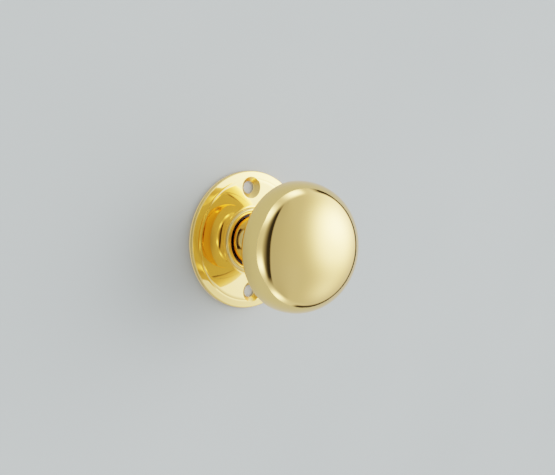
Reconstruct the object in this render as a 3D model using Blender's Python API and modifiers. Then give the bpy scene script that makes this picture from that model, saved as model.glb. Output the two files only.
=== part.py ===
"""Door knob on a face-fixed round rose, with its spindle and its return spring set.

Blender 4.5, metres, +Z up. The origin is the centre of the rose's back face, which lies
on the door. The knob turns about the Y axis and points along -Y, away from the door.

Every piece is modelled on its own +Z axis and hangs under one of two empties that tip
that axis out of the door. A height below is a distance along that axis: positive in front
of the door, negative inside it. A piece's local +Y is the object's +Z, straight up.
"""
import math

import bmesh
import bpy

# Clearance kept between pieces that touch or run on each other
GAP = 0.0003

# Rose: flat plate with a sloping border and a rounded edge, a fat bead round the bore, and
# a shallow seat in its back for the spring housing
ROSE_RADIUS = 0.0280
ROSE_THICKNESS = 0.0021
ROSE_FLAT_RADIUS = 0.0243
ROSE_BORDER_RADIUS = 0.0273
ROSE_BORDER_THICKNESS = 0.0018
BORE_RADIUS = 0.01085
BEAD_RADIUS = 0.0013
BEAD_CENTRE_HEIGHT = 0.00275
HUB_RADIUS = 0.0124
HUB_DEPTH = 0.0030
SEAT_RADIUS = 0.0174
SEAT_DEPTH = 0.0003
SCREW_HOLE_OFFSET = 0.0213
SCREW_HOLE_RADIUS = 0.00255
COUNTERSINK_RADIUS = 0.0043
BOSS_OFFSET = 0.0205
BOSS_RADIUS = 0.0030
BOSS_SIDES = (("left", 180), ("right", 0))

# Knob head: one superellipse quarter for its side and face, another for its back
HEAD_RADIUS = 0.02464
HEAD_WIDEST = 0.03024
FACE_TOP = 0.04944
FACE_POWER = 2.29
BACK_RADIUS = 0.0135
BACK_HEIGHT = 0.0186
BACK_POWER = 1.25
SHELL = 0.0012
SEAM_ANGLE = 38
SEAM_STEP_ANGLE = 36.5
LAP_ANGLE = 7.5

# Neck: tapered to a waist, flared into the head, with a shoulder on the bush and a journal
# through the rose
NECK_RADIUS = 0.0099
WAIST_RADIUS = 0.0077
WAIST_HEIGHT = 0.0098
FOOT_HEIGHT = 0.0037
COLLAR_RADIUS = 0.0133
COLLAR_TOP = BACK_HEIGHT - GAP
TENON_RADIUS = 0.0090
PEEN_RADIUS = 0.0104
PEEN_BOTTOM = 0.0222
PEEN_TOP = 0.0232
SHOULDER = 0.0015
JOURNAL_RADIUS = 0.0080
NECK_END = -0.0135
FLAT_DISTANCE = 0.0066
FLAT_START = -0.0056

# Spindle: 8 mm square bar, held by an M5 grub screw from below
SPINDLE_SIDE = 0.0080
SPINDLE_FRONT = 0.0120
SPINDLE_BACK = -0.0780
SPINDLE_BEVEL = 0.0005
GRUB_HEIGHT = 0.0064
GRUB_RADIUS = 0.0025
GRUB_KEY_ACROSS_FLATS = 0.0025
GRUB_KEY_DEPTH = 0.0022
GRUB_CHAMFER = 0.0004

# Bearing and retaining pieces on the journal, from front to back
BUSH_RADIUS = BORE_RADIUS - GAP
BUSH_FRONT = SHOULDER - GAP
BUSH_FLANGE_RADIUS = 0.0122
BUSH_FLANGE_THICKNESS = 0.0010
THRUST_THICKNESS = 0.0008
PLATE_HUB_RADIUS = 0.0115
PLATE_RADIUS = 0.0154
PLATE_FRONT = -0.0080
PLATE_BACK = -0.0092
WAVE_THICKNESS = 0.0003
WAVE_HEIGHT = 0.00025
WAVE_RADIUS = 0.0113
WAVE_COUNT = 3
CLIP_FRONT = -0.0106
CLIP_THICKNESS = 0.0010
CLIP_INNER_RADIUS = 0.0075
CLIP_OUTER_RADIUS = 0.0102
CLIP_MOUTH = 24
CLIP_LUG_RADIUS = 0.0016
CLIP_EYE_RADIUS = 0.0008
GROOVE_RADIUS = CLIP_INNER_RADIUS - GAP

# Spring set behind the rose
HOUSING_RADIUS = 0.0170
HOUSING_SHEET = 0.0008
HOUSING_BACK = -0.0095
COVER_THICKNESS = 0.0010
COVER_BORE = 0.0120
EAR_RADIUS = 0.0034
WIRE_RADIUS = 0.00065
COIL_RADIUS = 0.0139
COIL_FRONT = -0.0023
COIL_BACK = -0.0070
COIL_TURNS = 3.25
COIL_FIRST_ANGLE = 45
FIXED_LEG_END = 0.0178
STOP_OFFSET = 0.0144
STOP_RADIUS = 0.0011
STOP_HEAD_RADIUS = 0.0019
STOP_HEAD_THICKNESS = 0.0008
NOTCH_RADIUS = 0.0129
TURN_LIMIT = 50

# M3 screws that hold cover and housing to the rose's bosses
SCREW_RADIUS = 0.0015
SCREW_HEAD_RADIUS = 0.0028
SCREW_HEAD_THICKNESS = 0.0018
SCREW_TIP = -0.0045
RECESS_WIDTH = 0.0008
RECESS_LENGTH = 0.0032
RECESS_DEPTH = 0.0010

# Facets round the axis
FINE = 48
MEDIUM = 36
SMALL = 20
SMALLEST = 12
HEXAGON = 6

# Points closer than this are one point
WELD = 0.00001

for old in list(bpy.data.objects):
    bpy.data.objects.remove(old)


def new_collection(name):
    collection = bpy.data.collections.new(name)
    bpy.context.scene.collection.children.link(collection)
    return collection


PIECES = new_collection("door_knob")
CUTTERS = new_collection("cutters")


def new_material(name, colour, roughness, metallic):
    material = bpy.data.materials.new(name)
    material.use_nodes = True
    shader = material.node_tree.nodes["Principled BSDF"]
    shader.inputs["Base Color"].default_value = (*colour, 1.0)
    shader.inputs["Roughness"].default_value = roughness
    shader.inputs["Metallic"].default_value = metallic
    return material


BRASS = new_material("polished_brass", (0.90, 0.68, 0.30), 0.06, 1.0)
ZINC_STEEL = new_material("zinc_plated_steel", (0.62, 0.63, 0.64), 0.30, 1.0)
SPRING_STEEL = new_material("spring_steel", (0.20, 0.20, 0.21), 0.40, 1.0)
NYLON = new_material("nylon", (0.03, 0.03, 0.03), 0.50, 0.0)


def new_axis(name):
    """An empty on the knob's axis whose +Z points out of the door."""
    axis = bpy.data.objects.new(name, None)
    axis.rotation_euler = (math.radians(90), 0, 0)
    PIECES.objects.link(axis)
    return axis


ROSE_AXIS = new_axis("rose_axis")
KNOB_AXIS = new_axis("knob_axis")


def place(piece, material, axis, collection=PIECES):
    """Give a new object its material, its parent and its collection."""
    for owner in list(piece.users_collection):
        owner.objects.unlink(piece)
    collection.objects.link(piece)
    piece.parent = axis
    if material:
        piece.data.materials.append(material)
    if collection is CUTTERS:
        piece.hide_render = True
        piece.display_type = "WIRE"
    return piece


def arc(centre, radius, start, stop, steps):
    """Points on an arc in the profile plane, as (radius, height); angles in degrees."""
    points = []
    for step in range(steps + 1):
        angle = math.radians(start + (stop - start) * step / steps)
        across = centre[0] + radius * math.cos(angle)
        points.append((across, centre[1] + radius * math.sin(angle)))
    return points


def offset(points, distance):
    """The same profile moved inwards, to the right of its direction of travel."""
    moved = []
    for index, (radius, height) in enumerate(points):
        across = along = 0
        for first in (max(index - 1, 0), min(index, len(points) - 2)):
            start, stop = points[first], points[first + 1]
            length = math.dist(start, stop)
            across += (stop[0] - start[0]) / length
            along += (stop[1] - start[1]) / length
        length = math.hypot(across, along)
        moved.append((radius + distance * along / length, height - distance * across / length))
    return moved


def turned(name, profile, material, axis, segments=MEDIUM, collection=PIECES):
    """A turned piece: a closed profile, down its outer side, spun about the axis."""
    mesh = bpy.data.meshes.new(name)
    loop = bmesh.new()
    corners = [loop.verts.new((radius, 0, height)) for radius, height in profile]
    for first, second in zip(corners, corners[1:]):
        loop.edges.new((first, second))
    if min(radius for radius, _ in profile) > WELD:
        loop.edges.new((corners[-1], corners[0]))
    loop.to_mesh(mesh)
    loop.free()
    piece = place(bpy.data.objects.new(name, mesh), material, axis, collection)
    screw = piece.modifiers.new("turn", "SCREW")
    screw.steps = segments
    screw.render_steps = segments
    screw.use_merge_vertices = True
    screw.merge_threshold = WELD
    screw.use_smooth_shade = True
    return piece


def ring(inner, outer, top, bottom):
    """The square profile of a washer."""
    return [(inner, top), (outer, top), (outer, bottom), (inner, bottom)]


def disc(outer, top, bottom):
    """The profile of a solid round bar."""
    return [(0, top), (outer, top), (outer, bottom), (0, bottom)]


def polar(radius, degrees):
    """A point round the axis; 0 degrees is +X and 90 degrees is up."""
    angle = math.radians(degrees)
    return (radius * math.cos(angle), radius * math.sin(angle))


def bar_cutter(name, radius, top, bottom, axis, at=(0, 0), segments=SMALL):
    """A round cutter parallel to the axis."""
    cutter = turned(name, disc(radius, top, bottom), None, axis, segments, CUTTERS)
    cutter.location = (at[0], at[1], 0)
    return cutter


def block_mesh(name, size):
    """A square block centred on its own origin."""
    mesh = bpy.data.meshes.new(name)
    block = bmesh.new()
    bmesh.ops.create_cube(block, size=1)
    bmesh.ops.scale(block, vec=size, verts=block.verts)
    block.to_mesh(mesh)
    block.free()
    return mesh


def box_cutter(name, size, centre, axis, turn=0):
    """A square cutter, turned about the axis's direction by some degrees."""
    cutter = place(bpy.data.objects.new(name, block_mesh(name, size)), None, axis, CUTTERS)
    cutter.location = centre
    cutter.rotation_euler = (0, 0, math.radians(turn))
    return cutter


def combine(piece, other, operation="DIFFERENCE"):
    modifier = piece.modifiers.new(operation.lower(), "BOOLEAN")
    modifier.operation = operation
    modifier.object = other
    modifier.solver = "EXACT"


def double_d(name, radius, flat, top, bottom, axis):
    """A cutter that is a round bar with two flats, above and below the axis."""
    bar = turned(name, disc(radius, top, bottom), None, axis, MEDIUM, CUTTERS)
    size = (4 * radius, 2 * flat, 2 * (top - bottom))
    flats = box_cutter(name + "_flats", size, (0, 0, (top + bottom) / 2), axis)
    combine(bar, flats, "INTERSECT")
    return bar


# ---- the outline of the head ----


def back_outline(start, stop, steps):
    """The back of the head: a quarter of a superellipse from the collar to the widest ring."""
    points = []
    for step in range(steps + 1):
        angle = math.radians(start + (stop - start) * step / steps)
        across = math.sin(angle) ** (2 / BACK_POWER)
        along = math.cos(angle) ** (2 / BACK_POWER)
        radius = BACK_RADIUS + (HEAD_RADIUS - BACK_RADIUS) * across
        points.append((radius, HEAD_WIDEST - (HEAD_WIDEST - BACK_HEIGHT) * along))
    return points


def face_outline(stop, steps):
    """The side and face of the head: the other quarter, from the widest ring to the axis."""
    points = []
    for step in range(1, steps + 1):
        angle = math.radians(stop * step / steps)
        radius = HEAD_RADIUS * math.cos(angle) ** (2 / FACE_POWER)
        rise = math.sin(angle) ** (2 / FACE_POWER)
        points.append((radius, HEAD_WIDEST + (FACE_TOP - HEAD_WIDEST) * rise))
    return points


# ---- the pieces ----


def make_rose():
    bead_foot = math.degrees(math.asin((ROSE_THICKNESS - BEAD_CENTRE_HEIGHT) / BEAD_RADIUS))
    bead_centre = (BORE_RADIUS + BEAD_RADIUS, BEAD_CENTRE_HEIGHT)
    edge_round = ROSE_RADIUS - ROSE_BORDER_RADIUS
    edge_centre = (ROSE_BORDER_RADIUS, ROSE_BORDER_THICKNESS - edge_round)
    profile = [
        *arc(bead_centre, BEAD_RADIUS, 180, bead_foot, 8),
        (ROSE_FLAT_RADIUS, ROSE_THICKNESS),
        *arc(edge_centre, edge_round, 90, 0, 3),
        (ROSE_RADIUS, 0),
        (SEAT_RADIUS, 0),
        (SEAT_RADIUS, SEAT_DEPTH),
        (HUB_RADIUS, SEAT_DEPTH),
        (HUB_RADIUS, -HUB_DEPTH),
        (BORE_RADIUS, -HUB_DEPTH),
    ]
    rose = turned("rose", profile, BRASS, ROSE_AXIS, FINE)
    for name, turn in BOSS_SIDES:
        at = polar(BOSS_OFFSET, turn)
        sunk = ROSE_THICKNESS / 2
        hole = SCREW_RADIUS + GAP
        hole_end = SCREW_TIP + 2 * GAP
        profile = [
            (0, sunk),
            (BOSS_RADIUS, sunk),
            (BOSS_RADIUS, HOUSING_BACK),
            (hole, HOUSING_BACK),
            (hole, hole_end),
            (0, hole_end),
        ]
        boss = turned("boss_" + name, profile, None, ROSE_AXIS, SMALL, CUTTERS)
        boss.location = (*at, 0)
        combine(rose, boss, "UNION")
    for name, turn in (("top", 90), ("bottom", 270)):
        reach = ROSE_THICKNESS + GAP
        cone_top = COUNTERSINK_RADIUS + GAP
        cone_bottom = reach - (cone_top - SCREW_HOLE_RADIUS)
        profile = [
            (0, reach),
            (cone_top, reach),
            (SCREW_HOLE_RADIUS, cone_bottom),
            (SCREW_HOLE_RADIUS, -reach),
            (0, -reach),
        ]
        hole = turned("screw_hole_" + name, profile, None, ROSE_AXIS, MEDIUM, CUTTERS)
        hole.location = (*polar(SCREW_HOLE_OFFSET, turn), 0)
        combine(rose, hole)
    return rose


def make_head():
    """Two pressed shells; the front one is spun over the lap of the back one."""
    outer = back_outline(SEAM_ANGLE, 90, 4) + face_outline(90, 12)
    outer[-1] = (0, FACE_TOP)
    outer.reverse()
    inner = offset(outer, SHELL)
    inner[0] = (0, inner[0][1])
    inner.reverse()
    turned("knob_face", outer + inner, BRASS, KNOB_AXIS, FINE)

    bowl = back_outline(0, SEAM_STEP_ANGLE, 5)
    lap = back_outline(SEAM_STEP_ANGLE, 90, 4) + face_outline(LAP_ANGLE, 1)
    bowl.reverse()
    lap.reverse()
    lap_outer = offset(lap, SHELL + GAP)
    lap_inner = offset(lap, 2 * SHELL + GAP)
    bowl_inner = offset(bowl, SHELL)[2:]
    lap_inner.reverse()
    bowl_inner.reverse()
    hole = TENON_RADIUS + GAP
    profile = lap_outer + bowl
    profile += [(hole, BACK_HEIGHT), (hole, BACK_HEIGHT + SHELL)]
    profile += bowl_inner[1:] + lap_inner
    turned("knob_back", profile, BRASS, KNOB_AXIS, FINE)


def make_neck():
    chamfer = GAP
    rise = COLLAR_TOP - chamfer - WAIST_HEIGHT
    width = COLLAR_RADIUS - WAIST_RADIUS
    bend = (rise**2 + width**2) / (2 * width)
    turn = math.degrees(math.asin(rise / bend))
    flare = arc((WAIST_RADIUS + bend, WAIST_HEIGHT), bend, 180 - turn, 180, 7)
    profile = [
        (0, PEEN_TOP),
        (PEEN_RADIUS - chamfer, PEEN_TOP),
        (PEEN_RADIUS, PEEN_TOP - chamfer),
        (PEEN_RADIUS, PEEN_BOTTOM),
        (TENON_RADIUS, PEEN_BOTTOM),
        (TENON_RADIUS, COLLAR_TOP),
        (COLLAR_RADIUS, COLLAR_TOP),
        *flare,
        (NECK_RADIUS, FOOT_HEIGHT),
        (NECK_RADIUS, SHOULDER),
        (JOURNAL_RADIUS, SHOULDER),
        (JOURNAL_RADIUS, CLIP_FRONT + GAP),
        (GROOVE_RADIUS, CLIP_FRONT + GAP),
        (GROOVE_RADIUS, CLIP_FRONT - CLIP_THICKNESS - GAP),
        (JOURNAL_RADIUS, CLIP_FRONT - CLIP_THICKNESS - GAP),
        (JOURNAL_RADIUS, NECK_END + chamfer),
        (JOURNAL_RADIUS - chamfer, NECK_END),
        (0, NECK_END),
    ]
    neck = turned("knob_neck", profile, BRASS, KNOB_AXIS, MEDIUM)
    socket = SPINDLE_SIDE + 2 * GAP
    depth = 2 * (SPINDLE_FRONT + GAP)
    deep = depth - 2 * NECK_END
    centre = (0, 0, (depth - deep) / 2)
    combine(neck, box_cutter("spindle_socket", (socket, socket, deep), centre, KNOB_AXIS))
    for name, side in (("top", 1), ("bottom", -1)):
        thick = JOURNAL_RADIUS
        size = (4 * thick, thick, 2 * (FLAT_START - NECK_END))
        centre = (0, side * (FLAT_DISTANCE + thick / 2), NECK_END)
        combine(neck, box_cutter("neck_flat_" + name, size, centre, KNOB_AXIS))
    hole = bar_cutter("grub_hole", GRUB_RADIUS + GAP, 2 * NECK_RADIUS, 0, KNOB_AXIS)
    hole.location = (0, 0, GRUB_HEIGHT)
    hole.rotation_euler = (math.radians(90), 0, 0)
    combine(neck, hole)

    inner = TENON_RADIUS + GAP
    seat = BACK_HEIGHT + SHELL + GAP
    washer = ring(inner, BACK_RADIUS, PEEN_BOTTOM - GAP, seat)
    turned("neck_washer", washer, ZINC_STEEL, KNOB_AXIS)


def make_spindle():
    size = (SPINDLE_SIDE, SPINDLE_SIDE, SPINDLE_FRONT - SPINDLE_BACK)
    bar = bpy.data.objects.new("spindle", block_mesh("spindle", size))
    spindle = place(bar, ZINC_STEEL, KNOB_AXIS)
    spindle.location = (0, 0, (SPINDLE_FRONT + SPINDLE_BACK) / 2)
    bevel = spindle.modifiers.new("edges", "BEVEL")
    bevel.width = SPINDLE_BEVEL
    bevel.segments = 1

    tip = SPINDLE_SIDE / 2 + GAP
    end = WAIST_RADIUS - GAP
    profile = [
        (0, end),
        (GRUB_RADIUS - GRUB_CHAMFER, end),
        (GRUB_RADIUS, end - GRUB_CHAMFER),
        (GRUB_RADIUS, tip + 2 * GRUB_CHAMFER),
        (GRUB_RADIUS - 2 * GRUB_CHAMFER, tip),
        (0, tip),
    ]
    grub = turned("grub_screw", profile, ZINC_STEEL, KNOB_AXIS, SMALL)
    grub.location = (0, 0, GRUB_HEIGHT)
    grub.rotation_euler = (math.radians(90), 0, 0)
    corner_radius = GRUB_KEY_ACROSS_FLATS / math.sqrt(3)
    hexagon = disc(corner_radius, 2 * end, end - GRUB_KEY_DEPTH)
    key = turned("grub_key", hexagon, None, KNOB_AXIS, HEXAGON, CUTTERS)
    key.location = grub.location
    key.rotation_euler = grub.rotation_euler
    combine(grub, key)


def make_bearing():
    """Bush and thrust washer, which stay with the rose."""
    inner = JOURNAL_RADIUS + GAP
    flange_top = -HUB_DEPTH - GAP
    flange_bottom = flange_top - BUSH_FLANGE_THICKNESS
    profile = [
        (inner, BUSH_FRONT),
        (BUSH_RADIUS, BUSH_FRONT),
        (BUSH_RADIUS, flange_top),
        (BUSH_FLANGE_RADIUS, flange_top),
        (BUSH_FLANGE_RADIUS, flange_bottom),
        (inner, flange_bottom),
    ]
    turned("bearing_bush", profile, NYLON, ROSE_AXIS)
    top = flange_bottom - GAP
    bottom = top - THRUST_THICKNESS
    washer = ring(inner, BUSH_FLANGE_RADIUS, top, bottom)
    turned("thrust_washer", washer, ZINC_STEEL, ROSE_AXIS)
    return bottom


def make_drive_plate(hub_top):
    """Keyed to the neck's flats; its cut-away rim sets how far the knob turns."""
    profile = [
        (0, hub_top),
        (PLATE_HUB_RADIUS, hub_top),
        (PLATE_HUB_RADIUS, PLATE_FRONT),
        (PLATE_RADIUS, PLATE_FRONT),
        (PLATE_RADIUS, PLATE_BACK),
        (0, PLATE_BACK),
    ]
    plate = turned("drive_plate", profile, ZINC_STEEL, KNOB_AXIS)
    bore = JOURNAL_RADIUS + GAP
    flat = FLAT_DISTANCE + GAP
    combine(plate, double_d("plate_bore", bore, flat, -HUB_DEPTH, NECK_END, KNOB_AXIS))
    top = PLATE_FRONT + GAP
    bottom = PLATE_BACK - GAP
    wire = WIRE_RADIUS + GAP
    leg = bar_cutter("leg_hole", wire, top, bottom, KNOB_AXIS, leg_place(), SMALLEST)
    combine(plate, leg)

    # The rim between the two stops, an arc below the axis
    half = TURN_LIMIT + math.degrees(math.asin((STOP_RADIUS + GAP / 4) / STOP_OFFSET))
    steps = 14
    sweep = [270 - half + 2 * half * step / steps for step in range(steps + 1)]
    corners = [polar(NOTCH_RADIUS, angle) for angle in sweep]
    corners += [polar(2 * PLATE_RADIUS, angle) for angle in reversed(sweep)]
    notch = flat_outline("plate_notch", corners, top, bottom)
    combine(plate, as_mesh(notch, CUTTERS))


def leg_place():
    """Where the moving leg of the spring goes through the drive plate."""
    return polar(COIL_RADIUS, COIL_FIRST_ANGLE + 360 * COIL_TURNS)


def flat_outline(name, outline, top, bottom):
    """A flat piece on the knob's axis, cut to a closed outline."""
    curve = bpy.data.curves.new(name, "CURVE")
    curve.dimensions = "2D"
    curve.fill_mode = "BOTH"
    curve.extrude = (top - bottom) / 2
    spline = curve.splines.new("POLY")
    spline.points.add(len(outline) - 1)
    for point, corner in zip(spline.points, outline):
        point.co = (*corner, 0, 1)
    spline.use_cyclic_u = True
    piece = place(bpy.data.objects.new(name, curve), None, KNOB_AXIS)
    piece.location = (0, 0, (top + bottom) / 2)
    return piece


def as_mesh(source, collection=PIECES):
    """Turn a curve, or a mesh with modifiers, into a plain welded mesh at the same place."""
    bpy.context.view_layer.update()
    evaluated = source.evaluated_get(bpy.context.evaluated_depsgraph_get())
    mesh = bpy.data.meshes.new_from_object(evaluated)
    welded = bmesh.new()
    welded.from_mesh(mesh)
    bmesh.ops.remove_doubles(welded, verts=welded.verts, dist=WELD)
    bmesh.ops.recalc_face_normals(welded, faces=welded.faces)
    welded.to_mesh(mesh)
    welded.free()
    name = source.name
    axis = source.parent
    location = source.location.copy()
    bpy.data.objects.remove(source)
    piece = place(bpy.data.objects.new(name, mesh), None, axis, collection)
    piece.location = location
    return piece


def make_wave_washer():
    """A thin ring that rises and falls as it goes round."""
    inner = JOURNAL_RADIUS + GAP
    half = WAVE_THICKNESS / 2
    flat = ring(inner, WAVE_RADIUS, half, -half)
    washer = as_mesh(turned("wave_washer", flat, SPRING_STEEL, KNOB_AXIS))
    for corner in washer.data.vertices:
        turn = math.atan2(corner.co.y, corner.co.x)
        corner.co.z += WAVE_HEIGHT * math.sin(WAVE_COUNT * turn)
    washer.location = (0, 0, (PLATE_BACK + CLIP_FRONT) / 2)


def make_circlip():
    """An open ring with a lug and an eye at each side of its mouth."""
    start = 270 + CLIP_MOUTH / 2
    stop = 270 + 360 - CLIP_MOUTH / 2
    lug_middle = CLIP_OUTER_RADIUS - CLIP_LUG_RADIUS / 2
    steps = 32
    sweep = [start + (stop - start) * step / steps for step in range(steps + 1)]
    outline = [polar(CLIP_OUTER_RADIUS, angle) for angle in sweep]
    outline += [polar(CLIP_INNER_RADIUS, angle) for angle in reversed(sweep)]
    bottom = CLIP_FRONT - CLIP_THICKNESS
    clip = as_mesh(flat_outline("circlip", outline, CLIP_FRONT, bottom))
    clip.data.materials.append(SPRING_STEEL)
    for side, angle in (("right", start), ("left", stop)):
        at = polar(lug_middle, angle)
        name = "lug_" + side
        lug = bar_cutter(name, CLIP_LUG_RADIUS, CLIP_FRONT, bottom, KNOB_AXIS, at)
        combine(clip, lug, "UNION")
        name = "eye_" + side
        eye = bar_cutter(name, CLIP_EYE_RADIUS, 0, 2 * bottom, KNOB_AXIS, at, SMALLEST)
        combine(clip, eye)


def make_housing():
    """The cup that holds the spring, open at the back, with an open slot for the fixed leg."""
    inner = HUB_RADIUS + GAP
    top = SEAT_DEPTH - GAP
    floor = top - HOUSING_SHEET
    wall = HOUSING_RADIUS - HOUSING_SHEET
    profile = [
        (inner, top),
        (HOUSING_RADIUS - HOUSING_SHEET / 2, top),
        (HOUSING_RADIUS, top - HOUSING_SHEET / 2),
        (HOUSING_RADIUS, HOUSING_BACK),
        (wall, HOUSING_BACK),
        (wall, floor),
        (inner, floor),
    ]
    housing = turned("spring_housing", profile, ZINC_STEEL, ROSE_AXIS)
    width = 2 * (WIRE_RADIUS + GAP)
    slot_top = COIL_FRONT + width / 2
    slot_bottom = HOUSING_BACK - GAP
    centre = (*polar(HOUSING_RADIUS, COIL_FIRST_ANGLE), (slot_top + slot_bottom) / 2)
    slot = (4 * HOUSING_SHEET, width, slot_top - slot_bottom)
    combine(housing, box_cutter("leg_slot", slot, centre, ROSE_AXIS, COIL_FIRST_ANGLE))


def make_return_spring():
    """A torsion spring: one leg out through the housing, the other back through the plate."""
    per_turn = 16
    count = round(COIL_TURNS * per_turn)
    swept = 360 * COIL_TURNS
    bend = 2 * WIRE_RADIUS
    bend_angle = 2
    points = [
        (*polar(FIXED_LEG_END, COIL_FIRST_ANGLE), COIL_FRONT),
        (*polar(COIL_RADIUS + bend, COIL_FIRST_ANGLE), COIL_FRONT),
        (*polar(COIL_RADIUS + bend / 4, COIL_FIRST_ANGLE + bend_angle), COIL_FRONT),
    ]
    for step in range(1, count):
        part = step / count
        height = COIL_FRONT + (COIL_BACK - COIL_FRONT) * part
        points.append((*polar(COIL_RADIUS, COIL_FIRST_ANGLE + swept * part), height))
    last = polar(COIL_RADIUS, COIL_FIRST_ANGLE + swept - bend_angle)
    points += [
        (*last, COIL_BACK - bend / 4),
        (*leg_place(), COIL_BACK - bend),
        (*leg_place(), PLATE_BACK - GAP),
    ]
    curve = bpy.data.curves.new("return_spring", "CURVE")
    curve.dimensions = "3D"
    curve.bevel_depth = WIRE_RADIUS
    curve.bevel_resolution = 2
    curve.use_fill_caps = True
    spline = curve.splines.new("POLY")
    spline.points.add(len(points) - 1)
    for point, place_on_wire in zip(spline.points, points):
        point.co = (*place_on_wire, 1)
    place(bpy.data.objects.new("return_spring", curve), SPRING_STEEL, ROSE_AXIS)


def make_cover():
    """The plate that closes the housing, with its stop pin and its two screws."""
    top = HOUSING_BACK - GAP
    bottom = top - COVER_THICKNESS
    disc_ring = ring(COVER_BORE, HOUSING_RADIUS, top, bottom)
    cover = turned("housing_cover", disc_ring, ZINC_STEEL, ROSE_AXIS)
    reach = BOSS_OFFSET - COVER_BORE - GAP
    for name, turn in BOSS_SIDES:
        centre = (*polar(BOSS_OFFSET - reach / 2, turn), (top + bottom) / 2)
        size = (reach, 2 * EAR_RADIUS, COVER_THICKNESS)
        combine(cover, box_cutter("ear_arm_" + name, size, centre, ROSE_AXIS), "UNION")
        at = polar(BOSS_OFFSET, turn)
        ear = bar_cutter("ear_" + name, EAR_RADIUS, top, bottom, ROSE_AXIS, at, MEDIUM)
        combine(cover, ear, "UNION")
    for name, turn in BOSS_SIDES:
        at = polar(BOSS_OFFSET, turn)
        wide = SCREW_RADIUS + GAP
        combine(cover, bar_cutter("ear_hole_" + name, wide, 0, 2 * bottom, ROSE_AXIS, at))
    stop_at = polar(STOP_OFFSET, 270)
    wide = STOP_RADIUS + GAP
    combine(cover, bar_cutter("stop_hole", wide, 0, 2 * bottom, ROSE_AXIS, stop_at))

    head_top = bottom - GAP
    head_bottom = head_top - STOP_HEAD_THICKNESS
    profile = [
        (0, PLATE_FRONT),
        (STOP_RADIUS, PLATE_FRONT),
        (STOP_RADIUS, head_top),
        (STOP_HEAD_RADIUS, head_top),
        (STOP_HEAD_RADIUS, head_bottom + STOP_HEAD_THICKNESS / 2),
        (STOP_HEAD_RADIUS - STOP_HEAD_THICKNESS / 2, head_bottom),
        (0, head_bottom),
    ]
    pin = turned("stop_pin", profile, ZINC_STEEL, ROSE_AXIS, SMALL)
    pin.location = (*stop_at, 0)
    for name, turn in BOSS_SIDES:
        make_housing_screw(name, polar(BOSS_OFFSET, turn), bottom - GAP)


def make_housing_screw(side, at, seat):
    """A pan-head screw with a cross recess, its head against the back of the cover."""
    end = seat - SCREW_HEAD_THICKNESS
    round_off = SCREW_HEAD_THICKNESS / 3
    chamfer = SCREW_RADIUS / 3
    profile = [
        (0, SCREW_TIP),
        (SCREW_RADIUS - chamfer, SCREW_TIP),
        (SCREW_RADIUS, SCREW_TIP - chamfer),
        (SCREW_RADIUS, seat),
        (SCREW_HEAD_RADIUS, seat),
        (SCREW_HEAD_RADIUS, end + 2 * round_off),
        (SCREW_HEAD_RADIUS - round_off, end + round_off / 3),
        (SCREW_HEAD_RADIUS - 2 * round_off, end),
        (0, end),
    ]
    name = "housing_screw_" + side
    screw = turned(name, profile, ZINC_STEEL, ROSE_AXIS, SMALL)
    screw.location = (*at, 0)
    for turn in (45, 135):
        size = (RECESS_LENGTH, RECESS_WIDTH, 2 * RECESS_DEPTH)
        combine(screw, box_cutter(f"{name}_recess_{turn}", size, (*at, end), ROSE_AXIS, turn))


make_rose()
make_head()
make_neck()
make_spindle()
thrust_back = make_bearing()
make_drive_plate(thrust_back - GAP)
make_wave_washer()
make_circlip()
make_housing()
make_return_spring()
make_cover()
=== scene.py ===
"""Polished brass door knob on a round rose: the looks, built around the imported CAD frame.

Metres, in the frame of the part: the rose's back lies on the wall plane y = 0, the knob's axis
is Y and the knob points along -Y. A height in this script is a distance out of the wall, in
millimetres, so a point at height h has y = -h / 1000. Angles round the axis are in degrees,
0 along +X and 90 straight up.
"""
import math

import bmesh
import bpy
from mathutils import Matrix, Vector


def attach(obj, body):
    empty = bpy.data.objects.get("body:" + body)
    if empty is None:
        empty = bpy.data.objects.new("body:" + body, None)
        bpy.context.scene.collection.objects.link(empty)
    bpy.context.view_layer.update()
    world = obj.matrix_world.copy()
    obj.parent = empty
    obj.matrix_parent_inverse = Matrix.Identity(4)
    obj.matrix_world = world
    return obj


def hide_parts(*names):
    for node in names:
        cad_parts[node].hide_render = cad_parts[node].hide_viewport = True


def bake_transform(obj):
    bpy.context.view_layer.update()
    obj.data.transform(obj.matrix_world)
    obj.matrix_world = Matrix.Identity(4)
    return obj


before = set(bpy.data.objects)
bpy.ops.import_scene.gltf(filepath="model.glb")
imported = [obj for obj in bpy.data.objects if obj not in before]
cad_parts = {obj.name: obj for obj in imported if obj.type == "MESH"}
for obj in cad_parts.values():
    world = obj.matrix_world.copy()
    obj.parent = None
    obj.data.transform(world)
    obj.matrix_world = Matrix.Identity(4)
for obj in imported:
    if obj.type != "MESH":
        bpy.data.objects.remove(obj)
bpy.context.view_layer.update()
scene = bpy.context.scene

MM = 0.001

# The rose, in mm: the height of its flat face, the bore, and the countersunk screw holes
ROSE_FACE = 2.1
BORE = 10.85
HOLE_OFFSET = 21.3
HOLE = 2.55
COUNTERSINK = 4.55


# ---------------------------------------------------------------- profiles


def arc(centre, radius, start, stop, steps):
    """Points of an arc as (radius, height), both ends included."""
    points = []
    for step in range(steps + 1):
        angle = math.radians(start + (stop - start) * step / steps)
        points.append((centre[0] + radius * math.cos(angle), centre[1] + radius * math.sin(angle)))
    return points


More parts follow.
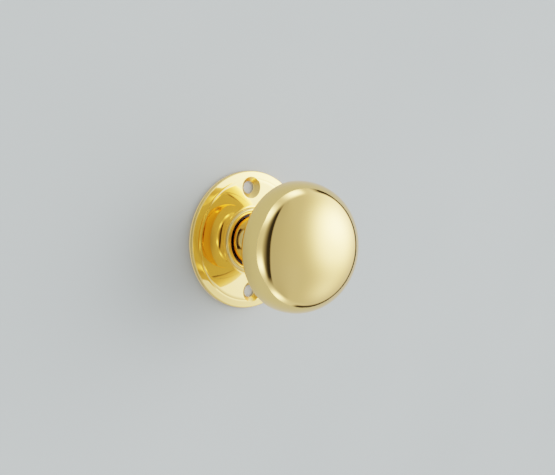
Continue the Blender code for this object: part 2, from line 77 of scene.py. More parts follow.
def rounded(corners, steps=5):
    """A profile of (radius, height, fillet) corners with each fillet drawn as an arc."""
    points = []
    count = len(corners)
    for index, (radius, height, fillet) in enumerate(corners):
        here = Vector((radius, height))
        before = Vector(corners[index - 1][:2]) - here
        after = Vector(corners[(index + 1) % count][:2]) - here
        end = index in (0, count - 1) and radius < 1e-6
        if fillet <= 0 or end:
            points.append((radius, height))
            continue
        angle = before.angle(after)
        reach = fillet / math.tan(angle / 2)
        centre = here + (before.normalized() + after.normalized()).normalized() * (
            fillet / math.sin(angle / 2)
        )
        first = here + before.normalized() * reach - centre
        last = here + after.normalized() * reach - centre
        sweep = first.angle(last) * (1 if first.cross(last) > 0 else -1)
        for step in range(steps + 1):
            turn = sweep * step / steps
            points.append(
                (
                    centre.x + first.x * math.cos(turn) - first.y * math.sin(turn),
                    centre.y + first.x * math.sin(turn) + first.y * math.cos(turn),
                )
            )
    return points


def inset(points, distance):
    """The profile moved sideways by a distance, to the right of its direction of travel.

    Where a bend is tighter than the distance, the points that would fold back are left out.
    """
    moved = []
    for index, (radius, height) in enumerate(points):
        before = points[max(index - 1, 0)]
        after = points[min(index + 1, len(points) - 1)]
        along = Vector((after[0] - before[0], after[1] - before[1])).normalized()
        inside = (radius + distance * along.y, height - distance * along.x)
        if moved:
            travel = Vector((radius, height)) - Vector(points[index - 1])
            if (Vector(inside) - Vector(moved[-1])).dot(travel) <= 0:
                continue
        moved.append(inside)
    return moved


def polar(radius, degrees):
    angle = math.radians(degrees)
    return (radius * math.cos(angle), radius * math.sin(angle))


def spot(across, up, height):
    """A place in the frame: across and up on the wall, and its height out of it, in mm."""
    return Vector((across * MM, -height * MM, up * MM))


# ---------------------------------------------------------------- meshes


def new_piece(name, mesh, material=None):
    piece = bpy.data.objects.new(name, mesh)
    scene.collection.objects.link(piece)
    if material:
        mesh.materials.append(material)
    return piece


def finish_mesh(piece, sharp=30):
    piece.data.shade_smooth()
    piece.data.set_sharp_from_angle(angle=math.radians(sharp))
    return piece


def lathe(name, profile, material=None, segments=160, at=(0, 0), sharp=30):
    """A closed turned piece. The profile closes on itself, or starts and ends on the axis."""
    mesh = bpy.data.meshes.new(name)
    made = bmesh.new()
    rings = []
    for radius, height in profile:
        if radius < 1e-6:
            rings.append([made.verts.new(spot(at[0], at[1], height))])
            continue
        ring = []
        for step in range(segments):
            across, up = polar(radius, 360 * step / segments)
            ring.append(made.verts.new(spot(at[0] + across, at[1] + up, height)))
        rings.append(ring)
    pairs = list(zip(rings, rings[1:]))
    if len(rings[0]) > 1:
        pairs.append((rings[-1], rings[0]))
    for first, second in pairs:
        for step in range(segments):
            after = (step + 1) % segments
            if len(first) == 1 and len(second) == 1:
                break
            if len(first) == 1:
                made.faces.new((first[0], second[step], second[after]))
            elif len(second) == 1:
                made.faces.new((first[step], second[0], first[after]))
            else:
                made.faces.new((first[step], second[step], second[after], first[after]))
    bmesh.ops.recalc_face_normals(made, faces=made.faces)
    made.to_mesh(mesh)
    made.free()
    return finish_mesh(new_piece(name, mesh, material), sharp)


def block(name, size, centre, turn=0, material=None):
    """A square block: its size across, up and along the axis, turned about the axis."""
    mesh = bpy.data.meshes.new(name)
    made = bmesh.new()
    bmesh.ops.create_cube(made, size=1)
    bmesh.ops.scale(made, vec=(size[0] * MM, size[2] * MM, size[1] * MM), verts=made.verts)
    bmesh.ops.rotate(made, matrix=Matrix.Rotation(math.radians(-turn), 3, "Y"), verts=made.verts)
    bmesh.ops.translate(made, vec=spot(*centre), verts=made.verts)
    made.to_mesh(mesh)
    made.free()
    return new_piece(name, mesh, material)


def plate(name, outline, top, bottom, material=None):
    """A flat piece cut to a closed outline of (across, up) points."""
    mesh = bpy.data.meshes.new(name)
    made = bmesh.new()
    front = [made.verts.new(spot(across, up, top)) for across, up in outline]
    back = [made.verts.new(spot(across, up, bottom)) for across, up in outline]
    made.faces.new(front)
    made.faces.new(list(reversed(back)))
    for index in range(len(outline)):
        after = (index + 1) % len(outline)
        made.faces.new((front[index], back[index], back[after], front[after]))
    bmesh.ops.recalc_face_normals(made, faces=made.faces)
    made.to_mesh(mesh)
    made.free()
    return new_piece(name, mesh, material)


def bake(piece):
    """Apply the piece's modifiers."""
    bpy.context.view_layer.update()
    shown = piece.evaluated_get(bpy.context.evaluated_depsgraph_get())
    mesh = bpy.data.meshes.new_from_object(shown)
    piece.modifiers.clear()
    old = piece.data
    piece.data = mesh
    bpy.data.meshes.remove(old)


def carve(piece, cutters, operation="DIFFERENCE"):
    """Cut pieces out of a piece, or join them to it, and throw the cutters away."""
    for cutter in cutters:
        modifier = piece.modifiers.new("carve", "BOOLEAN")
        modifier.operation = operation
        modifier.object = cutter
        modifier.solver = "EXACT"
        bake(piece)
        bpy.data.objects.remove(cutter)


def ease(piece, width, segments=2):
    """Take the sharpness off the edges."""
    bevel = piece.modifiers.new("ease", "BEVEL")
    bevel.width = width * MM
    bevel.segments = segments
    bevel.limit_method = "ANGLE"
    bevel.angle_limit = math.radians(35)
    bevel.harden_normals = False
    bevel.use_clamp_overlap = True
    bake(piece)
    finish_mesh(piece, 50)


def weigh_normals(piece):
    """Keep the big flat faces flat where they meet small ones."""
    modifier = piece.modifiers.new("normals", "WEIGHTED_NORMAL")
    modifier.keep_sharp = True
    modifier.weight = 90
    return piece


# ---------------------------------------------------------------- materials


class Shader:
    """A node material with a Principled shader, and short names for its nodes."""

    def __init__(self, name, colour, metallic, roughness):
        self.material = bpy.data.materials.new(name)
        self.material.use_nodes = True
        self.tree = self.material.node_tree
        self.surface = self.tree.nodes["Principled BSDF"]
        self.surface.inputs["Base Color"].default_value = (*colour, 1)
        self.surface.inputs["Metallic"].default_value = metallic
        self.surface.inputs["Roughness"].default_value = roughness
        self.place = self.node("TexCoord").outputs["Object"]

    def node(self, kind, **settings):
        made = self.tree.nodes.new("ShaderNode" + kind)
        for key, value in settings.items():
            setattr(made, key, value)
        return made

    def link(self, source, target):
        if isinstance(source, (int, float)):
            target.default_value = source
        else:
            self.tree.links.new(source, target)

    def math(self, operation, first, second=0.0):
        made = self.node("Math", operation=operation)
        self.link(first, made.inputs[0])
        self.link(second, made.inputs[1])
        return made.outputs[0]

    def noise(self, scale, detail=2.0, roughness=0.5, place=None):
        made = self.node("TexNoise")
        made.inputs["Scale"].default_value = scale
        made.inputs["Detail"].default_value = detail
        made.inputs["Roughness"].default_value = roughness
        self.tree.links.new(place or self.place, made.inputs["Vector"])
        return made.outputs["Fac"]

    def stretch(self, scale):
        made = self.node("Mapping")
        made.inputs["Scale"].default_value = scale
        self.tree.links.new(self.place, made.inputs["Vector"])
        return made.outputs["Vector"]

    def turning(self, scale):
        """A place that depends only on the radius and the height, for marks round the axis."""
        parts = self.node("SeparateXYZ")
        self.tree.links.new(self.place, parts.inputs[0])
        squared = self.math(
            "ADD",
            self.math("POWER", parts.outputs["X"], 2.0),
            self.math("POWER", parts.outputs["Z"], 2.0),
        )
        made = self.node("CombineXYZ")
        self.link(self.math("MULTIPLY", self.math("SQRT", squared), scale), made.inputs["X"])
        self.link(self.math("MULTIPLY", parts.outputs["Y"], scale), made.inputs["Y"])
        return made.outputs[0]

    def remap(self, value, low, high, start=0.3, stop=0.7):
        made = self.node("MapRange")
        for name, number in (
            ("From Min", start),
            ("From Max", stop),
            ("To Min", low),
            ("To Max", high),
        ):
            made.inputs[name].default_value = number
        self.link(value, made.inputs["Value"])
        return made.outputs["Result"]

    def tint(self, value, dark, light, start=0.3, stop=0.7):
        """Base colour between two tints as the value goes from start to stop."""
        ramp = self.node("ValToRGB")
        ramp.color_ramp.elements[0].position = start
        ramp.color_ramp.elements[0].color = (*dark, 1)
        ramp.color_ramp.elements[1].position = stop
        ramp.color_ramp.elements[1].color = (*light, 1)
        self.link(value, ramp.inputs["Fac"])
        self.tree.links.new(ramp.outputs["Color"], self.surface.inputs["Base Color"])

    def rough(self, value, low, high, start=0.3, stop=0.7):
        result = self.remap(value, low, high, start, stop)
        self.tree.links.new(result, self.surface.inputs["Roughness"])

    def bump(self, layers):
        """Height layers of (value, strength, distance in mm), the finest first."""
        normal = None
        for value, strength, distance in layers:
            made = self.node("Bump")
            made.inputs["Strength"].default_value = strength
            made.inputs["Distance"].default_value = distance * MM
            self.link(value, made.inputs["Height"])
            if normal:
                self.tree.links.new(normal, made.inputs["Normal"])
            normal = made.outputs["Normal"]
        self.tree.links.new(normal, self.surface.inputs["Normal"])


def in_countersinks(shader):
    """1 inside the rose's countersinks, which are left as the cutter made them, and else 0."""
    parts = shader.node("SeparateXYZ")
    shader.tree.links.new(shader.place, parts.inputs[0])
    up = shader.math("SUBTRACT", shader.math("ABSOLUTE", parts.outputs["Z"]), HOLE_OFFSET * MM)
    squares = [shader.math("POWER", value, 2.0) for value in (parts.outputs["X"], up)]
    distance = shader.math("SQRT", shader.math("ADD", *squares))
    near = shader.math("LESS_THAN", distance, (COUNTERSINK - 0.03) * MM)
    sunk = shader.math("GREATER_THAN", parts.outputs["Y"], -(ROSE_FACE - 0.06) * MM)
    return shader.math("MULTIPLY", near, sunk)


def brass_material():
    """Mirror-polished brass: faint marks round the axis from spinning and buffing."""
    shader = Shader("polished_brass", (0.98, 0.64, 0.20), 1.0, 0.05)
    cloud = shader.noise(60, 3)
    shader.tint(cloud, (0.965, 0.620, 0.185), (0.985, 0.645, 0.210))
    polish = shader.remap(shader.noise(420, 4, 0.6), 0.030, 0.060)
    cut = shader.math("MULTIPLY", in_countersinks(shader), 0.24)
    shader.link(shader.math("ADD", polish, cut), shader.surface.inputs["Roughness"])
    marks = shader.noise(1, 3, 0.6, shader.turning(5200))
    swell = shader.noise(90, 1)
    shader.bump([(marks, 0.010, 0.02), (swell, 0.02, 0.05)])
    return shader.material


def zinc_material():
    """Zinc plate over pressed or drawn steel: a soft grain with a faint bluish cloud."""
    shader = Shader("zinc_plated_steel", (0.62, 0.63, 0.64), 1.0, 0.3)
    shader.tint(shader.noise(240, 5, 0.65), (0.50, 0.52, 0.54), (0.70, 0.71, 0.70))
    shader.rough(shader.noise(700, 4, 0.6), 0.24, 0.42)
    shader.bump([(shader.noise(2600, 3, 0.6), 0.10, 0.02), (shader.noise(500, 2), 0.08, 0.04)])
    return shader.material


def drawn_material():
    """Cold-drawn bar: fine lines along its length under the zinc."""
    shader = Shader("drawn_steel", (0.60, 0.61, 0.62), 1.0, 0.3)
    lines = shader.noise(1, 4, 0.6, shader.stretch((2600, 34, 2600)))
    shader.tint(lines, (0.47, 0.48, 0.50), (0.68, 0.69, 0.69))
    shader.rough(shader.noise(500, 4, 0.6), 0.22, 0.40)
    shader.bump([(lines, 0.16, 0.02)])
    return shader.material


def spring_material():
    """Oil-tempered spring steel, nearly black, with a few lighter rubbed patches."""
    shader = Shader("spring_steel", (0.18, 0.18, 0.19), 1.0, 0.4)
    shader.tint(shader.noise(300, 5, 0.7), (0.12, 0.12, 0.13), (0.27, 0.26, 0.25))
    shader.rough(shader.noise(900, 3, 0.6), 0.30, 0.48)
    shader.bump([(shader.noise(3200, 3, 0.6), 0.10, 0.02)])
    return shader.material


def nylon_material():
    """Black moulded nylon, a little waxy."""
    shader = Shader("nylon", (0.03, 0.03, 0.03), 0.0, 0.5)
    shader.tint(shader.noise(180, 3), (0.022, 0.022, 0.023), (0.040, 0.040, 0.041))
    shader.rough(shader.noise(1200, 3), 0.42, 0.58)
    shader.bump([(shader.noise(2200, 3, 0.6), 0.08, 0.02)])
    return shader.material


BRASS = brass_material()
ZINC = zinc_material()
DRAWN = drawn_material()
SPRING = spring_material()
NYLON = nylon_material()


def settle(piece, node, body):
    """Hand a finished piece to the frame in place of a CAD node."""
    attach(piece, body)
    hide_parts(node)


# ---------------------------------------------------------------- rose


# In mm: the bead's radius, where the flat face ends and the border starts and ends, the outer
# edge, the seat and the hub behind, and how far the bosses are from the axis
BEAD = 1.3
FLAT_STOP = 24.2
BORDER_START = 24.3
BORDER_STOP = 27.3
ROSE_EDGE = 28.0
SEAT, HUB = 17.4, 12.4
BOSS_OFFSET = 20.5


def border_outline(steps):
    """The rose's border: a slope out to the edge, with a fine groove where it starts."""
    points = []
    for step in range(steps + 1):
        part = step / steps
        groove = 0.07 * math.exp(-(((part - 0.13) / 0.07) ** 2))
        radius = BORDER_START + (BORDER_STOP - BORDER_START) * part
        points.append((radius, ROSE_FACE - 0.02 - 0.28 * part - groove))
    return points


def make_rose():
    start = 13.42
    flat = [(start + (FLAT_STOP - start) * step / 14, ROSE_FACE) for step in range(15)]
    profile = [
        (BORE, -3.0),
        *arc((BORE + BEAD, 2.75), BEAD, 180, -28, 26),
        *flat,
        *border_outline(12),
        *arc((BORDER_STOP, 1.1), ROSE_EDGE - BORDER_STOP, 82, 0, 8),
        (ROSE_EDGE, 0.14),
        (ROSE_EDGE - 0.14, 0.0),
        (SEAT, 0.0),
        (SEAT, 0.3),
        (HUB, 0.3),
        (HUB, -3.0),
    ]
    rose = lathe("rose_plate", profile, BRASS, 288)
    bosses = []
    for turn in (0, 180):
        outline = [(0, 1.0), (3.0, 1.0), (3.0, -9.4), (2.9, -9.5), (1.8, -9.5)]
        outline += [(1.8, -3.9), (0, -3.9)]
        bosses.append(lathe("boss", outline, None, 64, polar(BOSS_OFFSET, turn)))
    carve(rose, bosses, "UNION")
    holes = []
    for turn in (90, 270):
        lip = arc((COUNTERSINK, ROSE_FACE - 0.25), 0.25, 90, 135, 4)
        wall = [(HOLE + 0.05, 0.42), (HOLE, 0.36), (HOLE, -1.0)]
        outline = [(0, 2.6), (COUNTERSINK, 2.6), *lip, *wall, (0, -1.0)]
        holes.append(lathe("hole", outline, None, 96, polar(HOLE_OFFSET, turn)))
    carve(rose, holes)
    finish_mesh(rose, 28)
    settle(weigh_normals(rose), "rose", "rose")


# ---------------------------------------------------------------- knob

# Where the head's back starts, its widest ring, the top of its face, and the powers of the
# superellipses between them, in mm
BACK_START = (13.5, 18.6)
WIDEST = (24.64, 30.24)
CROWN = 49.44
BACK_POWER = 1.25
FACE_POWER = 2.29
# The seam between the shells, as a parameter of the back's curve
SEAM_ANGLE = 37.2
# How thick the shells are, and the hole in the back one that the neck's end goes through, in mm
SHEET = 1.2
TENON_HOLE = 9.3


def back_outline(start, stop, steps):
    """The back of the head: a superellipse quarter from the collar to the widest ring."""
    points = []
    for step in range(steps + 1):
        angle = math.radians(start + (stop - start) * step / steps)
        across = math.sin(angle) ** (2 / BACK_POWER)
        along = math.cos(angle) ** (2 / BACK_POWER)
        radius = BACK_START[0] + (WIDEST[0] - BACK_START[0]) * across
        points.append((radius, WIDEST[1] - (WIDEST[1] - BACK_START[1]) * along))
    return points


def face_outline(stop, steps):
    """The side and face: the other quarter, from the widest ring to the axis."""
    points = []
    for step in range(1, steps + 1):
        angle = math.radians(stop * step / steps)
        across = math.cos(angle) ** (2 / FACE_POWER)
        along = math.sin(angle) ** (2 / FACE_POWER)
        points.append((WIDEST[0] * across, WIDEST[1] + (CROWN - WIDEST[1]) * along))
    return points


def make_head():
    """The front shell, spun over the lap of the back one."""
    outer = back_outline(SEAM_ANGLE, 90, 26) + face_outline(90, 72)
    outer[-1] = (0, CROWN)
    outer.reverse()
    inner = inset(outer, SHEET)
    inner[0] = (0, inner[0][1])
    inner.reverse()
    first = outer[-1]
    lip = [(first[0] - 0.06, first[1] - 0.02)]
    face = lathe("knob_face_shell", outer + lip + inner, BRASS, 320, sharp=40)
    settle(face, "knob_face", "knob")

    step_angle = SEAM_ANGLE - 0.25
    bowl = back_outline(0, step_angle, 22)
    lap = back_outline(step_angle, 90, 10) + face_outline(7.5, 2)
    bowl.reverse()
    lap.reverse()
    lap_outer = inset(lap, 1.4)
    lap_inner = inset(lap, 2.5)
    lap_inner.reverse()
    bowl_inner = inset(bowl, SHEET)[2:]
    bowl_inner.reverse()
    seat = [(TENON_HOLE, BACK_START[1]), (TENON_HOLE, BACK_START[1] + SHEET)]
    profile = lap_outer + bowl + seat + bowl_inner[1:] + lap_inner
    back = lathe("knob_back_shell", profile, BRASS, 320, sharp=40)
    settle(back, "knob_back", "knob")


# How high the grub screw's axis is, in mm
GRUB_HEIGHT = 6.4


def make_neck():
    """Tapered from its foot to the waist, then flared in one arc up to the collar."""
    waist, waist_height = 7.7, 9.8
    collar, collar_height = 13.44, 17.95
    foot, foot_height = 9.9, 3.7
    rise, width = collar_height - waist_height, collar - waist
    bend = (rise**2 + width**2) / (2 * width)
    turn = math.degrees(math.asin(rise / bend))
    flare = arc((waist + bend, waist_height), bend, 180 - turn, 174, 28)
    taper = [
        (*flare[-1], 0),
        (waist - 0.02, waist_height - 0.1, 2.0),
        (foot, foot_height, 1.0),
        (foot, 1.5, 0.2),
        (8.0, 1.5, 0),
    ]
    profile = [
        (0, 23.2),
        *rounded([(0, 23.2, 0), (10.4, 23.2, 0.35), (10.4, 22.2, 0.1), (9.0, 22.2, 0)])[1:],
        (9.0, 18.45),
        (13.25, 18.45),
        (13.42, 18.36),
        (13.46, 18.16),
        *flare,
        *rounded(taper)[1:],
        (8.0, -10.3),
        (7.2, -10.3),
        (7.2, -11.9),
        (8.0, -11.9),
        (8.0, -13.1),
        (7.6, -13.5),
        (0, -13.5),
    ]
    neck = lathe("knob_neck_turned", profile, BRASS, 256, sharp=32)
    cuts = [block("socket", (8.6, 8.6, 40), (0, 0, 12.3 - 20))]
    for side in (1, -1):
        cuts.append(block("flat", (32, 8, 15.8), (0, side * 10.6, -13.5)))
    carve(neck, cuts)
    hole = lathe("grub_hole", [(0, 20), (2.8, 20), (2.8, 0), (0, 0)], None, 48)
    hole.data.transform(point_down(GRUB_HEIGHT))
    carve(neck, [hole])
    finish_mesh(neck, 32)
    settle(weigh_normals(neck), "knob_neck", "knob")

    ring = [(TENON_HOLE, 21.9, 0.15), (13.5, 21.9, 0.3)]
    ring += [(13.5, 20.1, 0.3), (TENON_HOLE, 20.1, 0.15)]
    washer = lathe("neck_washer_ring", rounded(ring), ZINC, 96)
    settle(washer, "neck_washer", "knob")


def point_down(height):
    """Turns a piece made along the axis to point straight down at that height."""
    lift = Matrix.Translation(spot(0, 0, height))
    return lift @ Matrix.Rotation(math.radians(-90), 4, "X") @ Matrix.Rotation(math.pi, 4, "Z")


def make_spindle():
    bar = block("spindle_bar", (8, 8, 90), (0, 0, 12 - 45), material=DRAWN)
    ease(bar, 0.5, 3)
    settle(bar, "spindle", "knob")

    outline = [(0, 7.4), (2.1, 7.4), (2.5, 7.0)]
    for step in range(4):
        outline += [(2.5, 6.9 - step * 0.5), (2.28, 6.65 - step * 0.5)]
    outline = [point for point in outline if point[1] > 5.2]
    outline += [(2.2, 4.9), (1.7, 4.3), (1.2, 4.3), (0, 4.8)]
    grub = lathe("grub_screw_m5", outline, SPRING, 64, sharp=25)
    key = lathe("key", [(0, 20), (1.443, 20), (1.443, 5.4), (0, 5.0)], None, 6)
    for made in (grub, key):
        made.data.transform(point_down(GRUB_HEIGHT))
    carve(grub, [key])
    finish_mesh(grub, 25)
    settle(grub, "grub_screw", "knob")


# ---------------------------------------------------------------- bearing and spring set


def washer_profile(inner, outer, top, bottom, fillet):
    return rounded(
        [
            (inner, top, fillet),
            (outer, top, fillet),
            (outer, bottom, fillet),
            (inner, bottom, fillet),
        ]
    )


def make_bearing():
    bush = rounded(
        [
            (8.3, 1.2, 0.15),
            (10.55, 1.2, 0.2),
            (10.55, -3.3, 0.15),
            (12.2, -3.3, 0.2),
            (12.2, -4.3, 0.2),
            (8.3, -4.3, 0.15),
        ]
    )
    settle(lathe("bush_moulding", bush, NYLON, 128), "bearing_bush", "rose")
    thrust = lathe("thrust_ring", washer_profile(8.3, 12.2, -4.6, -5.4, 0.15), ZINC, 128)
    settle(thrust, "thrust_washer", "rose")

    wave = lathe("wave_ring", washer_profile(8.3, 11.3, 0.15, -0.15, 0.05), SPRING, 144)
    for corner in wave.data.vertices:
        turn = math.atan2(corner.co.z, corner.co.x)
        corner.co.y += -(-9.9 + 0.25 * math.sin(3 * turn)) * MM
    settle(wave, "wave_washer", "knob")


# The stop pin's distance from the axis; the spring's coil, its radius in mm, its start and how
# far it winds in degrees; and where its second leg goes through the drive plate
STOP_OFFSET = 14.4
COIL = 13.9
COIL_START = 45
COIL_SWEEP = 360 * 3.25
LEG_PLACE = polar(COIL, COIL_START + COIL_SWEEP)


def make_drive_plate():
    outline = rounded(
        [
            (0, -5.7, 0),
            (11.5, -5.7, 0.2),
            (11.5, -8.0, 0.15),
            (15.4, -8.0, 0.15),
            (15.4, -9.2, 0.15),
            (0, -9.2, 0),
        ]
    )
    drive = lathe("drive_plate_turned", outline, ZINC, 160)
    bore = lathe("bore", [(0, 0), (8.3, 0), (8.3, -14), (0, -14)], None, 128)
    carve(bore, [block("flats", (40, 13.8, 40), (0, 0, -7))], "INTERSECT")
    leg = lathe("leg", [(0, -7), (0.95, -7), (0.95, -10), (0, -10)], None, 40, LEG_PLACE)
    half = 50 + math.degrees(math.asin((1.1 + 0.075) / STOP_OFFSET))
    sweep = [270 - half + 2 * half * step / 48 for step in range(49)]
    corners = [polar(12.9, angle) for angle in sweep]
    corners += [polar(30, angle) for angle in reversed(sweep)]
    notch = plate("notch", corners, -7.7, -9.5)
    carve(drive, [bore, leg, notch])
    ease(drive, 0.12)
    settle(weigh_normals(drive), "drive_plate", "knob")


def make_circlip():
    start, stop = 270 + 12, 630 - 12
    sweep = [start + (stop - start) * step / 120 for step in range(121)]
    outline = [polar(10.2, angle) for angle in sweep]
    outline += [polar(7.5, angle) for angle in reversed(sweep)]
    clip = plate("circlip_blank", outline, -10.6, -11.6, SPRING)
    for angle in (start, stop):
        at = polar(9.4, angle)
        lug = lathe("lug", [(0, -10.6), (1.6, -10.6), (1.6, -11.6), (0, -11.6)], None, 48, at)
        carve(clip, [lug], "UNION")
        eye = lathe("eye", [(0, 0), (0.8, 0), (0.8, -20), (0, -20)], None, 32, at)
        carve(clip, [eye])
    ease(clip, 0.1)
    clip.name = "circlip_ring"
    settle(weigh_normals(clip), "circlip", "knob")


def make_housing():
    outline = rounded(
        [
            (12.7, 0.0, 0.1),
            (17.0, 0.0, 1.0),
            (17.0, -9.5, 0.1),
            (16.2, -9.5, 0.1),
            (16.2, -0.8, 0.4),
            (12.7, -0.8, 0.1),
        ]
    )
    cup = lathe("spring_cup", outline, ZINC, 192)
    centre = (*polar(17.0, 45), (-1.35 - 9.8) / 2)
    carve(cup, [block("slot", (3.2, 1.9, 9.8 - 1.35), centre, 45)])
    finish_mesh(cup, 35)
    settle(weigh_normals(cup), "spring_housing", "rose")


def spring_path():
    """The wire's centre line: out leg, bend, coil, bend, leg back through the drive plate."""
    points = [spot(*polar(radius, COIL_START), -2.3) for radius in (17.8, 16.2)]
    bend = 1.0
    for step in range(1, 7):
        part = math.radians(90 * step / 6)
        radius = COIL + bend - bend * math.sin(part)
        turn = COIL_START + math.degrees(bend * (1 - math.cos(part)) / COIL)
        points.append(spot(*polar(radius, turn), -2.3))
    first = COIL_START + math.degrees(bend / COIL)
    last = COIL_START + COIL_SWEEP - math.degrees(bend / COIL)
    count = 250
    for step in range(1, count):
        part = step / count
        eased = part + (math.sin(2 * math.pi * part) / (2 * math.pi)) * -0.04
        points.append(spot(*polar(COIL, first + (last - first) * part), -2.3 - 4.7 * eased))
    for step in range(0, 7):
        part = math.radians(90 * step / 6)
        turn = last + math.degrees(bend * math.sin(part) / COIL)
        points.append(spot(*polar(COIL, turn), -7.0 - bend * (1 - math.cos(part))))
    points.append(spot(*LEG_PLACE, -9.45))
    return points


def make_spring(points):
    """A round wire along a path, its ends domed a little."""
    radius, sides = 0.65, 20
    mesh = bpy.data.meshes.new("return_spring_wire")
    made = bmesh.new()
    rings = []
    side = None
    for index, point in enumerate(points):
        before = points[max(index - 1, 0)]
        after = points[min(index + 1, len(points) - 1)]
        along = (after - before).normalized()
        if side is None:
            side = along.orthogonal().normalized()
        side = (side - along * side.dot(along)).normalized()
        up = along.cross(side)
        ring = []
        for step in range(sides):
            across, rise = polar(radius * MM, 360 * step / sides)
            ring.append(made.verts.new(point + side * across + up * rise))
        rings.append(ring)
    for first, second in zip(rings, rings[1:]):
        for step in range(sides):
            after = (step + 1) % sides
            made.faces.new((first[step], first[after], second[after], second[step]))
    ends = ((rings[0], points[0], points[1]), (rings[-1], points[-1], points[-2]))
    for ring, point, inner in ends:
        out = (point - inner).normalized() * 0.12 * MM
        tip = []
        for corner in ring:
            tip.append(made.verts.new(point + (corner.co - point) * 0.78 + out))
        for step in range(sides):
            after = (step + 1) % sides
            made.faces.new((ring[step], ring[after], tip[after], tip[step]))
        made.faces.new(tip)
    bmesh.ops.recalc_face_normals(made, faces=made.faces)
    made.to_mesh(mesh)
    made.free()
    wire = finish_mesh(new_piece("return_spring_wire", mesh, SPRING), 40)
    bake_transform(wire)
    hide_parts("return_spring")


def make_cover():
    top, bottom = -9.8, -10.8
    cover = lathe("cover_plate", [(12, top), (17, top), (17, bottom), (12, bottom)], ZINC, 144)
    joined = []
    for turn in (0, 180):
        middle = polar(BOSS_OFFSET - 4.1, turn)
        joined.append(block("arm", (8.2, 6.8, 1.0), (*middle, (top + bottom) / 2)))
        ear = [(0, top), (3.4, top), (3.4, bottom), (0, bottom)]
        joined.append(lathe("ear", ear, None, 72, polar(BOSS_OFFSET, turn)))
    carve(cover, joined, "UNION")
    cuts = []
    ears = [(1.8, polar(BOSS_OFFSET, turn)) for turn in (0, 180)]
    for radius, at in (*ears, (1.4, polar(STOP_OFFSET, 270))):
        cuts.append(lathe("hole", [(0, 0), (radius, 0), (radius, -20), (0, -20)], None, 48, at))
    carve(cover, cuts)
    ease(cover, 0.12)
    settle(weigh_normals(cover), "housing_cover", "rose")

    outline = rounded(
        [
            (0, -8.0, 0),
            (1.1, -8.0, 0.2),
            (1.1, -11.1, 0.05),
            (1.9, -11.1, 0.1),
            (1.9, -11.9, 0.45),
            (0, -11.9, 0),
        ]
    )
    pin = lathe("stop_rivet", outline, ZINC, 64, polar(STOP_OFFSET, 270))
    settle(pin, "stop_pin", "rose")


def make_housing_screw(side, turn):
    """A pan-head screw with a tapered cross recess."""
    at = polar(BOSS_OFFSET, turn)
    head = [(0, -12.9)]
    for step in range(9):
        part = math.radians(90 * step / 8)
        head.append((1.4 + 1.4 * math.sin(part), -12.02 - 0.88 * math.cos(part)))
    outline = [(0, -4.5), (1.0, -4.5), (1.5, -5.0), (1.5, -11.1), (2.6, -11.1), (2.8, -11.3)]
    screw = lathe("cover_screw_" + side, outline + list(reversed(head)), ZINC, 96, at, 28)
    recess = []
    for turned in (45, 135):
        arm = block("recess", (3.2, 0.8, 2.0), (*at, -12.9), turned)
        for corner in arm.data.vertices:
            if corner.co.y < 12.9 * MM:
                middle = spot(*at, 0)
                corner.co.x = middle.x + (corner.co.x - middle.x) * 0.6
                corner.co.z = middle.z + (corner.co.z - middle.z) * 0.6
        recess.append(arm)
    carve(screw, recess)
    finish_mesh(screw, 28)
    settle(weigh_normals(screw), "housing_screw_" + side, "rose")


make_rose()
make_head()
make_neck()
make_spindle()
make_bearing()
make_drive_plate()
make_circlip()
make_housing()
make_spring(spring_path())
make_cover()
make_housing_screw("left", 180)
make_housing_screw("right", 0)


# ---------------------------------------------------------------- wall, light and camera


def make_wall():
    """A pale painted board, seen only from its front, and not by the rose's back on it."""
    mesh = bpy.data.meshes.new("wall")
    corners = [(-0.170, -0.230), (0.290, -0.230), (0.290, 0.155), (-0.170, 0.155)]
    mesh.from_pydata([(x, 0.0005, z) for x, z in corners], [], [(0, 1, 2, 3)])
    shader = Shader("wall_paint", (0.48, 0.515, 0.52), 0.0, 0.9)
    shader.surface.inputs["Specular IOR Level"].default_value = 0.2
    shader.tint(shader.noise(9, 2), (0.47, 0.505, 0.51), (0.49, 0.525, 0.53))
    back = shader.node("NewGeometry").outputs["Backfacing"]
    clear = shader.node("BsdfTransparent")
    mix = shader.node("MixShader")
    path = shader.node("LightPath").outputs
    close = shader.math("LESS_THAN", path["Ray Length"], 1.5 * MM)
    touching = shader.math("MULTIPLY", path["Is Glossy Ray"], close)
    shader.link(shader.math("MAXIMUM", back, touching), mix.inputs["Fac"])
    shader.tree.links.new(shader.surface.outputs[0], mix.inputs[1])
    shader.tree.links.new(clear.outputs[0], mix.inputs[2])
    output = shader.tree.nodes["Material Output"]
    shader.tree.links.new(mix.outputs[0], output.inputs["Surface"])
    new_piece("wall", mesh, shader.material)


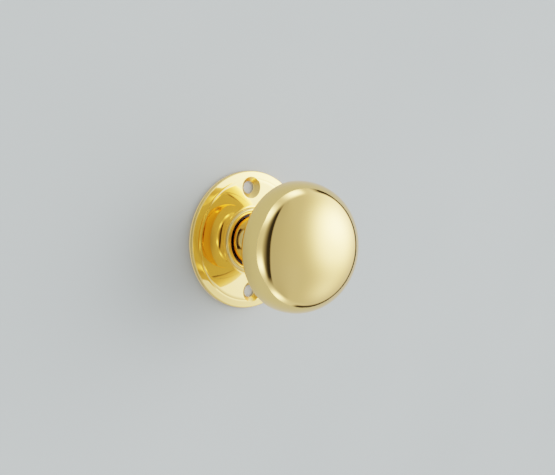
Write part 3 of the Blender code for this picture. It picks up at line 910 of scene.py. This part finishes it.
class Sky:
    """The studio as a picture of brightness by direction, drawn with nodes."""

    def __init__(self):
        world = bpy.data.worlds.new("studio")
        scene.world = world
        world.use_nodes = True
        self.tree = world.node_tree
        self.background = self.tree.nodes["Background"]
        self.direction = self.tree.nodes.new("ShaderNodeTexCoord").outputs["Generated"]
        parts = self.tree.nodes.new("ShaderNodeSeparateXYZ")
        self.tree.links.new(self.direction, parts.inputs[0])
        self.x, self.y, self.z = parts.outputs
        forward = self.math("MULTIPLY", self.y, -1.0)
        self.azimuth = self.degrees(self.math("ARCTAN2", self.x, forward))
        self.elevation = self.degrees(self.math("ARCSINE", self.z))
        self.polar = self.degrees(self.math("ARCCOSINE", forward))

    def math(self, operation, first, second=0.0):
        made = self.tree.nodes.new("ShaderNodeMath")
        made.operation = operation
        for value, socket in zip((first, second), made.inputs):
            if isinstance(value, (int, float)):
                socket.default_value = value
            else:
                self.tree.links.new(value, socket)
        return made.outputs[0]

    def degrees(self, value):
        return self.math("MULTIPLY", value, 180 / math.pi)

    def step(self, value, start, stop):
        """0 before start, 1 after stop, smooth between."""
        made = self.tree.nodes.new("ShaderNodeMapRange")
        made.interpolation_type = "SMOOTHSTEP"
        made.inputs["From Min"].default_value = start
        made.inputs["From Max"].default_value = stop
        self.tree.links.new(value, made.inputs["Value"])
        return made.outputs["Result"]

    def band(self, value, rise, fall):
        """1 between two soft edges, each given as (start, stop)."""
        up = self.step(value, *rise)
        down = self.math("SUBTRACT", 1.0, self.step(value, *fall))
        return self.math("MULTIPLY", up, down)

    def lobe(self, azimuth, elevation, width, strength):
        """A round soft light in a direction, its width as a standard deviation in degrees."""
        a, e = math.radians(azimuth), math.radians(elevation)
        toward = (math.sin(a) * math.cos(e), -math.cos(a) * math.cos(e), math.sin(e))
        dot = self.tree.nodes.new("ShaderNodeVectorMath")
        dot.operation = "DOT_PRODUCT"
        self.tree.links.new(self.direction, dot.inputs[0])
        dot.inputs[1].default_value = toward
        sharpness = 1 / math.radians(width) ** 2
        fall = self.math("MULTIPLY", self.math("SUBTRACT", dot.outputs["Value"], 1.0), sharpness)
        return self.math("MULTIPLY", self.math("EXPONENT", fall), strength)

    def mix(self, base, value, mask):
        """base where mask is 0, value where it is 1."""
        change = self.math("SUBTRACT", value, base)
        return self.math("ADD", base, self.math("MULTIPLY", change, mask))


# The level in front at its left, and its rise to the right; then soft lights as (azimuth,
# elevation, width, strength). The front ones are a large one to the right, a weaker one further
# right and a weaker one below. They and the level are rounded from a fit to how bright the brass
# is in the photograph. The room ones, past the board's edges, are given one by one.
LEVEL, LEVEL_RISE = 0.66, 0.21
FRONT_LIGHTS = ((51, 11, 18, 7.4), (92, 28, 19, 1.6), (54, -41, 13, 1.0))
ROOM_LIGHTS = ((124, 76, 8, 6.0), (-109, 51, 9, 6.0), (-95, -23, 9, 5.0), (-112, -74, 7, 4.5))


def make_studio():
    """Lights and dark stands by direction, for the brass to reflect."""
    sky = Sky()
    near = sky.math("MULTIPLY", sky.step(sky.azimuth, -65, -5), LEVEL_RISE)
    light = sky.math("ADD", near, LEVEL)
    for front in FRONT_LIGHTS:
        light = sky.math("ADD", light, sky.lobe(*front))
    # The bright room past the board's left, top and bottom edges
    past = sky.math(
        "MULTIPLY",
        sky.step(sky.polar, 82, 92),
        sky.math("SUBTRACT", 1.0, sky.step(sky.x, 0.30, 0.50)),
    )
    glow = 1.1
    for room in ROOM_LIGHTS:
        glow = sky.math("ADD", glow, sky.lobe(*room))
    light = sky.mix(light, glow, past)
    # Two dark stands: an upright one to the left, and one along the board's right edge
    below = sky.math("MINIMUM", sky.elevation, 0.0)
    bend = sky.math("MULTIPLY", sky.math("POWER", below, 2.0), 0.0035)
    stand = sky.math(
        "MULTIPLY",
        sky.band(sky.math("ADD", sky.azimuth, bend), (-92, -73), (-68, -64)),
        sky.band(sky.elevation, (-62, -40), (58, 84)),
    )
    light = sky.mix(light, 0.03, stand)
    edge = sky.math(
        "MULTIPLY",
        sky.band(sky.polar, (90, 95), (108, 120)),
        sky.math(
            "MULTIPLY",
            sky.step(sky.x, 0.15, 0.30),
            sky.math("SUBTRACT", 1.0, sky.step(sky.z, 0.70, 0.85)),
        ),
    )
    light = sky.mix(light, 0.04, edge)
    # The camera itself sees a plain pale studio
    seen = sky.tree.nodes.new("ShaderNodeLightPath").outputs["Is Camera Ray"]
    light = sky.mix(light, 0.75, seen)
    sky.tree.links.new(light, sky.background.inputs["Strength"])
    sky.background.inputs["Color"].default_value = (0.98, 1.0, 1.0, 1)


def make_camera():
    camera = bpy.data.cameras.new("camera")
    camera.sensor_width = 36
    camera.lens = 40.68
    eye = bpy.data.objects.new("camera", camera)
    scene.collection.objects.link(eye)
    eye.location = (-0.1503, -0.2060, 0.0304)
    eye.rotation_euler = Vector((0.6221, 0.7744, -0.1154)).to_track_quat("-Z", "Y").to_euler()
    scene.camera = eye


make_wall()
make_studio()
make_camera()
scene.view_settings.view_transform = "Filmic"
scene.view_settings.look = "None"
